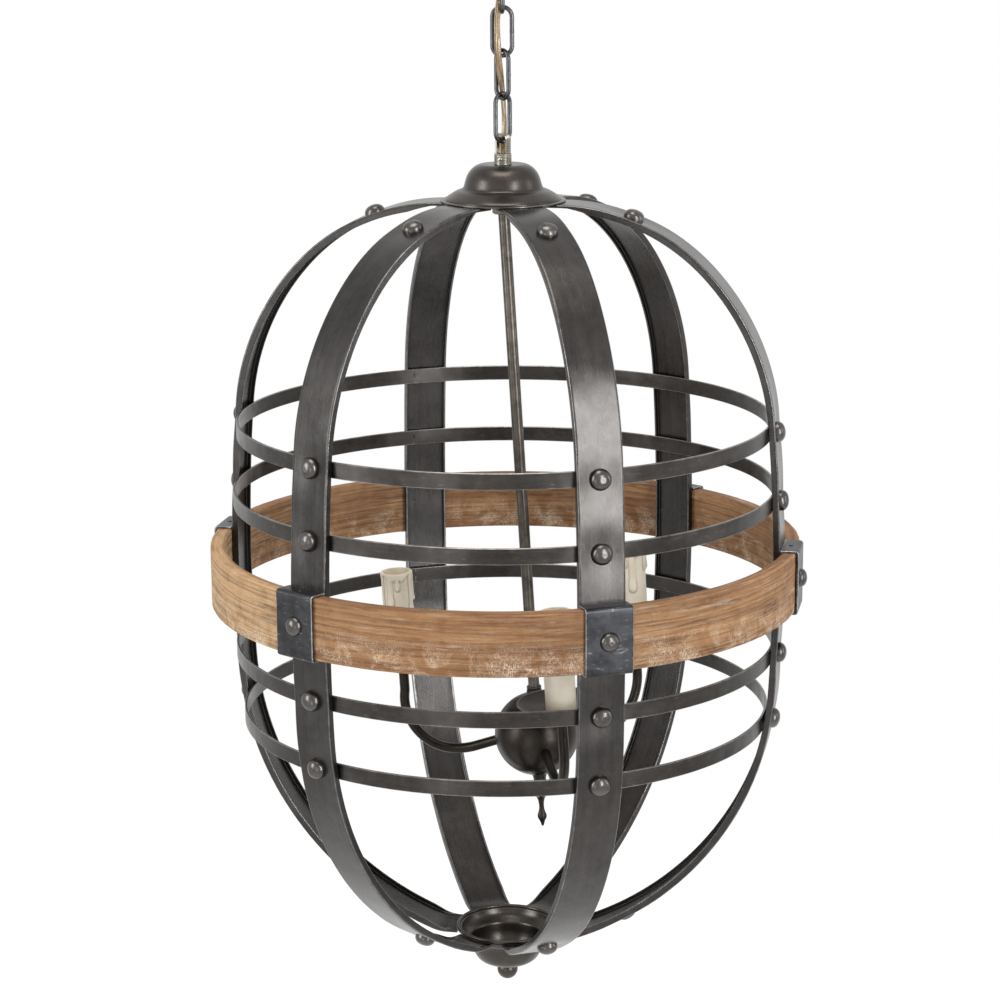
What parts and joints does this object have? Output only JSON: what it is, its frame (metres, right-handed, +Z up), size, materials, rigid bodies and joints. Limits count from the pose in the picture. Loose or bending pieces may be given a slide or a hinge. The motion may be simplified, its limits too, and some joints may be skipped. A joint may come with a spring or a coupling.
{
  "type": "caged pendant light",
  "caption": "Egg-shaped cage of riveted steel bands with a wooden belt and a cluster of candle arms inside, hung by a chain from a ceiling canopy.",
  "frame": {"origin": "middle of the ceiling face of the mounting bar, where the light is held", "axes": "+Z up towards the ceiling; a gap between two bands faces -Y, the side that the picture shows"},
  "size_m": [0.5094, 0.4958, 0.9188],
  "materials": {
    "canopy_metal": "dark bronze, satin",
    "plated_steel": "zinc plated",
    "loop_metal": "dull brassy plating, worn",
    "chain_steel": "dark bronze, rubbed on the bends",
    "cord_jacket": "clear gold jacket, soft gloss",
    "cap_metal": "dark bronze, soft gloss",
    "band_steel": "dark gunmetal lacquer over brushed steel",
    "ring_wood": "raw pale wood with a worn white wash",
    "clamp_steel": "blued brushed steel, pale worn edges",
    "hoop_steel": "dark brown lacquer on flat steel",
    "rivet_steel": "hammered, dark",
    "arm_iron": "dark brown, semi matt",
    "pan_metal": "dark brown, semi gloss",
    "candle_sleeve": "ivory, waxy",
    "holder_plastic": "pale moulded"
  },
  "bodies": {
    "ceiling": {"ceiling_canopy": "canopy_metal", "mounting_crossbar": "plated_steel", "canopy_screws": "plated_steel", "canopy_loop": "loop_metal", "canopy_nut": "plated_steel", "supply_cord_1": "cord_jacket"},
    "link_1": {"chain_link_1": "chain_steel", "supply_cord_2": "cord_jacket"},
    "link_2": {"chain_link_2": "chain_steel", "supply_cord_3": "cord_jacket"},
    "link_3": {"chain_link_3": "chain_steel", "supply_cord_4": "cord_jacket"},
    "link_4": {"chain_link_4": "chain_steel", "supply_cord_5": "cord_jacket"},
    "candle_1": {"candle_sleeve_1": "candle_sleeve"},
    "candle_2": {"candle_sleeve_2": "candle_sleeve"},
    "candle_3": {"candle_sleeve_3": "candle_sleeve"},
    "lantern": {"rod_nut": "plated_steel", "hanging_loop": "loop_metal", "top_cap": "cap_metal", "top_disc": "cap_metal", "bottom_cup": "cap_metal", "bottom_ball": "cap_metal", "band_1": "band_steel", "wood_segment_1": "ring_wood", "ring_clamp_1": "clamp_steel", "band_2": "band_steel", "wood_segment_2": "ring_wood", "ring_clamp_2": "clamp_steel", "band_3": "band_steel", "wood_segment_3": "ring_wood", "ring_clamp_3": "clamp_steel", "band_4": "band_steel", "wood_segment_4": "ring_wood", "ring_clamp_4": "clamp_steel", "band_5": "band_steel", "wood_segment_5": "ring_wood", "ring_clamp_5": "clamp_steel", "band_6": "band_steel", "wood_segment_6": "ring_wood", "ring_clamp_6": "clamp_steel", "upper_hoop_1": "hoop_steel", "upper_hoop_2": "hoop_steel", "lower_hoop_1": "hoop_steel", "lower_hoop_2": "hoop_steel", "hoop_rivets": "rivet_steel", "pole_rivets": "rivet_steel", "clamp_rivets": "rivet_steel", "centre_rod": "arm_iron", "hub_ball": "arm_iron", "hub_finial": "arm_iron", "candle_arm_1": "arm_iron", "drip_pan_1": "pan_metal", "candle_arm_2": "arm_iron", "drip_pan_2": "pan_metal", "candle_arm_3": "arm_iron", "drip_pan_3": "pan_metal", "lamp_holders": "holder_plastic"}
  },
  "joints": [
    {"name": "swing_1", "type": "hinge", "parent": "ceiling", "child": "link_1", "pos_m": [0, 0, -0.0505], "axis": [0.9659, 0.2588, 0], "range_deg": [-20, 20], "deforming": ["supply_cord_1"]},
    {"name": "swing_2", "type": "hinge", "parent": "link_1", "child": "link_2", "pos_m": [0, 0, -0.08495], "axis": [0.2588, -0.9659, 0], "range_deg": [-15, 15], "deforming": ["supply_cord_2"]},
    {"name": "swing_3", "type": "hinge", "parent": "link_2", "child": "link_3", "pos_m": [0, 0, -0.11975], "axis": [0.9848, 0.1736, 0], "range_deg": [-12, 12], "deforming": ["supply_cord_3"]},
    {"name": "swing_4", "type": "hinge", "parent": "link_3", "child": "link_4", "pos_m": [0, 0, -0.1542], "axis": [0.766, -0.6428, 0], "range_deg": [-15, 15], "deforming": ["supply_cord_4"]},
    {"name": "swing_5", "type": "hinge", "parent": "link_4", "child": "lantern", "pos_m": [0, 0, -0.18465], "axis": [-0.8192, 0.5736, 0], "range_deg": [-20, 20], "deforming": ["supply_cord_5"]},
    {"name": "candle_lift_1", "type": "slide", "parent": "lantern", "child": "candle_1", "axis": [-0.0559, -0.0139, 0.9983], "range_m": [0, 0.05]},
    {"name": "candle_lift_2", "type": "slide", "parent": "lantern", "child": "candle_2", "axis": [-0.0559, -0.0139, 0.9983], "range_m": [0, 0.05]},
    {"name": "candle_lift_3", "type": "slide", "parent": "lantern", "child": "candle_3", "axis": [-0.0559, -0.0139, 0.9983], "range_m": [0, 0.05]}
  ]
}
